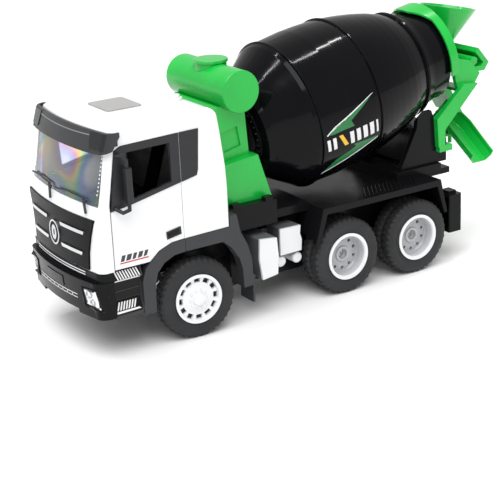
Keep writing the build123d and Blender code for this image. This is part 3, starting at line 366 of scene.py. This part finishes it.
def mesh_of(outline, cell):
    """Plane mesh of an outline, with points no further apart than about cell."""
    rim = []
    for (x1, y1), (x2, y2) in zip(outline, outline[1:] + outline[:1]):
        steps = max(1, math.ceil(math.hypot(x2 - x1, y2 - y1) / cell))
        rim += [(x1 + (x2 - x1) * i / steps, y1 + (y2 - y1) * i / steps) for i in range(steps)]
    points = [Vector(p) for p in rim]
    edges = [(i, (i + 1) % len(rim)) for i in range(len(rim))]
    xs, ys = [p[0] for p in rim], [p[1] for p in rim]
    for i in range(1, int((max(xs) - min(xs)) / cell) + 1):
        for j in range(1, int((max(ys) - min(ys)) / cell) + 1):
            place = (min(xs) + i * cell, min(ys) + j * cell)
            if inside(place, outline) and all(math.dist(place, p) > 0.3 * cell for p in rim):
                points.append(Vector(place))
    found = delaunay_2d_cdt(points, edges, [], 1, 1e-4)
    return [tuple(p) for p in found[0]], [tuple(f) for f in found[2]]


def layer(tree, outline, aim, cell, thick):
    """Thin closed solid lying on a surface: aim(u, v) gives where to look from and which way."""
    flat, faces = mesh_of(outline, cell)
    looks = [aim(u, v) for u, v in flat]
    depths = [tree.ray_cast(start, way)[3] for start, way in looks]
    found = sorted(depth for depth in depths if depth is not None)
    depths = [found[len(found) // 2] if depth is None else depth for depth in depths]
    top = [start + way * (depth - thick * MM) for (start, way), depth in zip(looks, depths)]
    bottom = [start + way * (depth + 0.05 * MM) for (start, way), depth in zip(looks, depths)]
    count = len(flat)
    solid = [tuple(face) for face in faces] + [tuple(i + count for i in reversed(face)) for face in faces]
    used = {}
    for face in faces:
        for i, j in zip(face, face[1:] + face[:1]):
            used[(i, j)] = True
    for i, j in used:
        if (j, i) not in used:
            solid.append((j, i, i + count, j + count))
    return top + bottom, solid


def prints(name, outlines, aim, node, body, material, cell=2.5, thick=0.16):
    """Several outlines laid on one node as one piece."""
    tree = surface_of(node)
    corners = []
    faces = []
    for outline in outlines:
        points, sides = layer(tree, outline, aim, cell, thick)
        faces += [tuple(i + len(corners) for i in side) for side in sides]
        corners += points
    return piece(name, corners, faces, body, material)


def bars(start, end, low, high, count, width, lean):
    """Row of slanted bars between two ends and two levels."""
    row = []
    first, last = start - min(lean, 0), end - width - max(lean, 0)
    for i in range(count):
        u = first + (last - first) * i / (count - 1)
        row.append([(u, low), (u + width, low), (u + width + lean, high), (u + lean, high)])
    return row


def from_side(side):
    """Look at a node straight from the truck's left (1) or right (-1)."""
    return lambda x, z: (at(x, 110 * side, z), Vector((0, -side, 0)))


def from_front(y, z):
    return at(140, y, z), Vector((-1, 0, 0))


DRUM_RING = (-135.2, 162.6)      # x and z of the drum's front hoop
DRUM_TILT = math.radians(10.6)
DRUM_BACK = Vector((-math.cos(DRUM_TILT), 0, math.sin(DRUM_TILT)))
DRUM_UP = Vector((math.sin(DRUM_TILT), 0, math.cos(DRUM_TILT)))
ARC = 1.22                       # millimetres along the drum's skin for one degree


def from_drum(side):
    """Look at the drum across its axis: s along the axis, arc length up from the side."""
    def aim(s, arc):
        angle = math.radians(arc / ARC)
        out = Vector((0, side, 0)) * math.cos(angle) + DRUM_UP * math.sin(angle)
        return at(DRUM_RING[0], 0, DRUM_RING[1]) + DRUM_BACK * s * MM + out * 95 * MM, -out
    return aim


def arcs(outline):
    return [(s, degrees * ARC) for s, degrees in outline]


def make_drum_prints():
    """Bolt and swoosh in green, slanted white bars and a yellow flash, with no lettering."""
    bolt = arcs([(58, 9.5), (31, -2), (34, -7), (22, -7), (10, -7.3), (5.5, -6.4), (13, -2.6)])
    edge = arcs([(61, 11), (58, 10.6), (13, -1.8), (3.6, -6.2), (4.6, -7.0), (13, -3.3)])
    swoosh = arcs([(62, -25.5), (33, -22.5), (36, -25.5), (15, -32), (4, -41.5), (33, -33)])
    line = arcs([(62.5, -26.3), (62.5, -27.2), (33, -34.8), (2.5, -44.3), (3.2, -42.8), (33, -33.6)])
    flash = arcs([(16.5, -10.2), (20.5, -10.2), (27, -20.2), (23, -20.6)])
    blocks = []
    for start, end in ((3.5, 8.2), (9.6, 14.6), (28.2, 34.0), (35.6, 41.6), (43.2, 49.6), (51.2, 57.4),
                       (59.0, 62.6)):
        low = -20.4 - 0.02 * start
        blocks.append(arcs([(start, -10.4), (end - 1.4, -10.5), (end, low), (start + 1.6, low)]))
    parts = (("bolt", [bolt, swoosh], PRINT_GREEN), ("edge", [edge, line], PRINT_WHITE),
             ("flash", [flash], PRINT_YELLOW), ("bars", blocks, PRINT_WHITE))
    for side, word in ((1, "left"), (-1, "right")):
        for name, outlines, material in parts:
            prints("drum_" + name + "_" + word, outlines, from_drum(side), "drum_shell", "drum",
                   material)


def make_flange_bolts():
    """Ring of small bolts on the flange at the drum's front end."""
    corners = []
    faces = []
    count = 36
    for i in range(count):
        angle = 2 * math.pi * i / count
        out = Vector((0, 1, 0)) * math.cos(angle) + DRUM_UP * math.sin(angle)
        along = DRUM_BACK.cross(out)
        centre = at(DRUM_RING[0], 0, DRUM_RING[1]) + DRUM_BACK * (-45.45 * MM) + out * 33.4 * MM
        base = len(corners)
        for radius, height in ((0.95, 0.0), (0.95, 0.55), (0.55, 0.95)):
            for k in range(6):
                turn = math.radians(60 * k)
                spot = out * math.cos(turn) + along * math.sin(turn)
                corners.append(centre + spot * radius * MM - DRUM_BACK * height * MM)
        for level in (0, 6):
            for k in range(6):
                nxt = (k + 1) % 6
                low = base + level
                faces.append((low + k, low + nxt, low + 6 + nxt, low + 6 + k))
        faces.append(tuple(base + k for k in reversed(range(6))))
        faces.append(tuple(base + 12 + k for k in range(6)))
    piece("drum_flange_bolts", corners, faces, "drum", MATERIALS["steering_black"])


def make_side_prints():
    """Door stripes, a dark panel painted as shade in the recessed handle cup, and the steps' black panels,
    stripes and seam, on both sides.
    """
    for side, word in ((1, "left"), (-1, "right")):
        aim = from_side(side)
        door = "door_" + word
        lean = -1.8
        stripes = [[(u, 86.3 + 0.03 * (72 - u)), (u + w, 86.3), (u + w + lean, 91.6), (u + lean, 91.6)]
                   for u, w in ((45.6, 3.2), (50.4, 4.0), (56.2, 3.2), (61.0, 4.4), (67.0, 3.4))]
        prints("door_stripes_" + word, stripes, aim, door, door, PRINT_GREY, thick=0.12)
        thin = [[(44.0, 84.6), (71.0, 84.4), (70.8, 85.4), (43.8, 85.7)]]
        prints("door_line_" + word, thin, aim, door, door, PRINT_RED, thick=0.12)
        frame = "door_frame_" + word
        # Gloss black panel in the handle's cup: painted shade of the recess.
        cup = [[(13.6, 99.6), (24.4, 97.4), (24.8, 101.4), (13.9, 103.5)]]
        prints("door_handle_recess_shade_" + word, cup, aim, frame, door, GLOSS_BLACK, thick=0.35)
        upper = bars(53.5, 77.0, 71.4, 78.2, 9, 1.25, 2.2)
        upper.append([(53.0, 69.9), (77.4, 69.7), (77.4, 71.0), (55.5, 71.2)])
        lower = bars(57.0, 77.0, 44.0, 50.3, 7, 1.35, -3.0)
        lower.append([(54.5, 41.9), (77.4, 41.4), (77.4, 43.1), (56.5, 43.3)])
        prints("step_stripes_" + word, upper + lower, aim, "steps", "chassis", PRINT_WHITE,
               cell=1.5, thick=0.45)
        panel = [[(53.2, 39.8), (77.6, 39.4), (77.4, 52.0), (53.2, 52.4)],
                 [(53.2, 53.0), (77.4, 52.6), (77.4, 68.2), (53.2, 68.2)],
                 [(53.2, 68.8), (77.4, 68.8), (77.4, 79.4), (53.2, 79.8)]]
        prints("step_panel_" + word, panel, aim, "steps", "chassis", GLOSS_BLACK, thick=0.3)
        seam = [[(53.6, 60.0), (77.0, 59.7), (77.0, 60.4), (53.6, 60.7)]]
        prints("step_seam_" + word, seam, aim, "steps", "chassis", MATERIALS["trim_grey"],
               thick=0.75)


def make_front_details():
    """Visor line and caps, lamp bezels, twin strips and the blank plate."""
    line = [(y, 191.6 + 0.9 * (y / 46) ** 2) for y in range(-46, 47, 4)]
    line += [(y, z + 0.75) for y, z in reversed(line)]
    prints("visor_line", [line], from_front, "sun_visor", "chassis", PRINT_GREY_LIGHT, thick=0.3)
    cap = ((49, 182.6), (66.5, 182.6), (66.5, 195.6), (46.5, 195.6))
    caps = [[(sign * y, z) for y, z in cap] for sign in (-1, 1)]
    prints("visor_caps", caps, from_front, "sun_visor", "chassis", CAP_GREY, thick=0.7)
    strips = []
    for z in (55.0, 52.0):
        for i in range(9):
            start = -36 + 8.1 * i
            strips.append([(start, z), (start + 6.9, z), (start + 6.9, z + 0.9), (start, z + 0.9)])
    for i in range(8):
        centre = -28.7 + 8.1 * i
        strips.append([(centre - 0.5, 52.4), (centre + 0.5, 52.4), (centre + 0.5, 55.6),
                       (centre - 0.5, 55.6)])
    prints("bumper_strips", strips, from_front, "front_bumper", "chassis", MATERIALS["plated"],
           thick=0.35)
    plate = [[(-15, 57.6), (15, 57.6), (15, 66.6), (-15, 66.6)]]
    prints("number_plate", plate, from_front, "front_bumper", "chassis", GLOSS_BLACK,
           thick=0.6)
    outer = [(42.9, 64.2), (63.2, 65.8), (66.0, 45.2), (44.3, 47.8)]
    inner = [(44.7, 62.3), (61.3, 63.8), (64.0, 47.2), (46.2, 49.7)]
    bezels = []
    for sign in (-1, 1):
        for i in range(4):
            j = (i + 1) % 4
            bezels.append([(sign * y, z) for y, z in (outer[i], outer[j], inner[j], inner[i])])
    prints("lamp_bezels", bezels, from_front, "front_bumper", "chassis", GLOSS_BLACK,
           thick=0.8)
    cups = []
    for sign in (-1, 1):
        for y, z, radius in ((52.0, 59.3, 3.6), (55.6, 52.6, 3.0)):
            for k in range(20):
                first, second = 2 * math.pi * k / 20, 2 * math.pi * (k + 1) / 20
                ring = [(first, radius), (second, radius), (second, radius - 0.8), (first, radius - 0.8)]
                cups.append([(sign * y + r * math.cos(t), z + r * math.sin(t)) for t, r in ring])
    prints("lamp_rings", cups, from_front, "headlights", "chassis", MATERIALS["steel"],
           thick=0.7)


def make_pane_studs():
    """Row of small moulded studs down each side of the windshield, white as painted highlight for their
    glints.
    """
    studs = []
    for sign in (-1, 1):
        for i in range(11):
            y = sign * (60.6 - 0.12 * i)
            z = 178.5 - 3.3 * i
            turns = [math.radians(30 * k) for k in range(12)]
            studs.append([(y + 0.65 * math.cos(turn), z + 0.75 * math.sin(turn)) for turn in turns])
    # The studs are white as painted highlight: they stand for the bright glints along the pane's edges.
    prints("windshield_studs", studs, from_front, "windshield", "chassis", PRINT_WHITE,
           thick=0.45)


def make_rear_lenses():
    """Red lenses on the lamp boxes at the back."""
    lenses = []
    for sign in (-1, 1):
        for low, high in ((33, 46), (49, 62)):
            lenses.append([(sign * y, z) for y, z in ((44.5, low), (58.5, low), (58.5, high), (44.5, high))])
    prints("rear_lenses", lenses, lambda y, z: (at(-360, y, z), Vector((1, 0, 0))), "rear_bumper", "chassis",
           LENS_RED, thick=1.0)


# ---- tyres ------------------------------------------------------------------------
TYRE_R = 36.0
BORE_R = 21.65
LUGS = 38
FRONT_TYRE_W = 19.0
TWIN_TYRE_W = 13.2
TWIN_TYRE_Y = (60.8, 46.0)       # middles of the outer and the inner twin tyre


def tyre_rings(width):
    """Half-section from the outer bead over the tread to the inner bead: (y, radius, kind)."""
    half = width / 2
    side = [(half - 2.0, BORE_R, ""), (half - 1.0, BORE_R + 1.6, ""), (half - 0.75, BORE_R + 2.6, ""),
            (half - 0.35, BORE_R + 3.0, ""), (half - 0.35, BORE_R + 3.8, ""), (half - 0.6, BORE_R + 4.2, ""),
            (half - 0.15, TYRE_R - 7.4, ""), (half, TYRE_R - 6.6, ""), (half - 0.25, TYRE_R - 4.6, ""),
            (half - 0.5, TYRE_R - 3.4, "wall"), (half - 1.1, TYRE_R - 1.9, "wall"),
            (half - 1.9, TYRE_R - 0.9, "lug"), (half - 3.2, TYRE_R - 0.1, "lug"),
            (half - 3.6, TYRE_R, "lug"), (half * 0.42, TYRE_R, "lug"),
            (half * 0.40, TYRE_R - 1.4, ""), (half * 0.29, TYRE_R - 1.4, ""), (half * 0.27, TYRE_R, "rib"),
            (half * 0.06, TYRE_R, "rib"), (half * 0.04, TYRE_R - 1.2, "")]
    return side + [(-y, radius, kind) for y, radius, kind in reversed(side)]


def tyre_mesh(centre, axle, width, corners, faces):
    """One tyre with shoulder lugs and a zigzag centre rib, added to a mesh."""
    ahead = Vector((axle.y, -axle.x, 0))
    rings = tyre_rings(width)
    steps = LUGS * 6
    drop = {"": (0,) * 6, "wall": (0, 0, 0, 0.2, 0.3, 0.2), "lug": (0, 0, 0, 0.85, 1.0, 0.85),
            "rib": (0, 0, 0, 0, 0.7, 0.7)}
    base = len(corners)
    for i in range(steps):
        for number, (y, radius, kind) in enumerate(rings):
            shift = 3 if number >= len(rings) // 2 else 0
            depth = drop[kind][(i + shift) % 6]
            angle = 2 * math.pi * i / steps
            out = ahead * math.cos(angle) + Vector((0, 0, 1)) * math.sin(angle)
            corners.append(centre + axle * y * MM + out * (radius - depth) * MM)
    count = len(rings)
    for i in range(steps):
        for j in range(count):
            after, beside = (i + 1) % steps, (j + 1) % count
            faces.append((base + i * count + j, base + after * count + j, base + after * count + beside,
                          base + i * count + beside))


def make_tyres():
    """Treaded tyres in place of the plain CAD ones."""
    joints = {joint["name"]: joint for joint in frame["joints"]}
    for word, sign in (("left", 1), ("right", -1)):
        joint = joints["front_wheel_" + word + "_spin"]
        corners, faces = [], []
        axle = Vector(joint["axis"]).normalized() * sign
        tyre_mesh(Vector(joint["pos_m"]), axle, FRONT_TYRE_W, corners, faces)
        tyre = piece("treaded_front_" + word, corners, faces, "front_wheel_" + word,
                     MATERIALS["tyre"])
        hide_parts("front_tyre_" + word)
    for word, x in (("mid", MID_AXLE_X), ("rear", REAR_AXLE_X)):
        corners, faces = [], []
        for sign in (-1, 1):
            for y in TWIN_TYRE_Y:
                tyre_mesh(at(x, sign * y, AXLE_Z), Vector((0, sign, 0)), TWIN_TYRE_W, corners, faces)
        tyre = piece("treaded_" + word, corners, faces, word + "_wheels", MATERIALS["tyre"])
        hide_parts(word + "_tyres")


def make_slot_shade_discs():
    """Dark stepped disc, shaped like a brake drum, seen through the slots of each front rim: painted shade,
    put there because the hollow behind the slots lies in shadow.
    """
    joints = {joint["name"]: joint for joint in frame["joints"]}
    profile = [(6.2, -1.0), (6.2, 3.4), (9.0, 3.9), (14.4, 3.9), (14.9, 3.2), (15.6, 3.2), (16.0, 3.9),
               (18.6, 3.9), (19.2, 3.3), (19.2, -1.0)]
    steps = 72
    for word, sign in (("left", 1), ("right", -1)):
        joint = joints["front_wheel_" + word + "_spin"]
        axle = Vector(joint["axis"]).normalized() * sign
        ahead = Vector((axle.y, -axle.x, 0))
        corners = []
        faces = []
        for i in range(steps):
            angle = 2 * math.pi * i / steps
            out = ahead * math.cos(angle) + Vector((0, 0, 1)) * math.sin(angle)
            for radius, y in profile:
                corners.append(Vector(joint["pos_m"]) + axle * y * MM + out * radius * MM)
        count = len(profile)
        for i in range(steps):
            for j in range(count):
                after, beside = (i + 1) % steps, (j + 1) % count
                faces.append((i * count + j, after * count + j, after * count + beside, i * count + beside))
        # Black disc as painted shade: it darkens the rim's slots where the hollow behind them is in shadow.
        piece("slot_shade_disc_" + word, corners, faces, "front_wheel_" + word,
              MATERIALS["steering_black"])


# ---- stage ------------------------------------------------------------------------
def strip_light(name, start, end, energy):
    """Long narrow light between two points, aimed at the drum: it draws the bright line on its gloss."""
    data = bpy.data.lights.new(name, "AREA")
    data.shape = "RECTANGLE"
    data.size = (end - start).length
    data.size_y = 0.035
    data.energy = energy
    strip = bpy.data.objects.new(name, data)
    bpy.context.scene.collection.objects.link(strip)
    middle = (start + end) / 2
    back = (middle - Vector((0, 0, 0.2))).normalized()
    along = (end - start).normalized()
    across = back.cross(along).normalized()
    turn = Matrix((across.cross(back), across, back)).transposed()
    strip.matrix_world = Matrix.Translation(middle) @ turn.to_4x4()


def make_stage():
    """Pale floor, even white surroundings, a soft sun and two strips of light."""
    world = bpy.data.worlds.new("studio")
    bpy.context.scene.world = world
    world.use_nodes = True
    world.node_tree.nodes["Background"].inputs["Color"].default_value = (1, 1, 1, 1)
    world.node_tree.nodes["Background"].inputs["Strength"].default_value = 0.62
    mesh = bpy.data.meshes.new("floor")
    reach = 6
    corners = [(-reach, -reach, 0), (reach, -reach, 0), (reach, reach, 0), (-reach, reach, 0)]
    mesh.from_pydata(corners, [], [(0, 1, 2, 3)])
    floor = bpy.data.objects.new("floor", mesh)
    bpy.context.scene.collection.objects.link(floor)
    material, _, bsdf = new_material("floor_pale")
    bsdf.inputs["Base Color"].default_value = (0.93, 0.93, 0.93, 1)
    bsdf.inputs["Roughness"].default_value = 0.6
    mesh.materials.append(material)
    data = bpy.data.lights.new("sun", "SUN")
    data.energy = 2.3
    data.angle = math.radians(50)
    sun = bpy.data.objects.new("sun", data)
    bpy.context.scene.collection.objects.link(sun)
    sun.matrix_world = Vector((0.35, 0.45, 1.0)).to_track_quat("Z", "Y").to_matrix().to_4x4()
    strip_light("strip_rear", Vector((-0.41, 0.10, 1.76)), Vector((-0.80, -0.24, 1.62)), 5)
    strip_light("strip_front", Vector((1.03, -0.28, 1.42)), Vector((0.37, -0.56, 1.67)), 5)
    bpy.context.scene.view_settings.view_transform = "Standard"


make_camera()
make_stage()
dress_nodes()
make_tyres()
make_slot_shade_discs()
make_drum_prints()
make_flange_bolts()
make_side_prints()
make_front_details()
make_pane_studs()
make_rear_lenses()
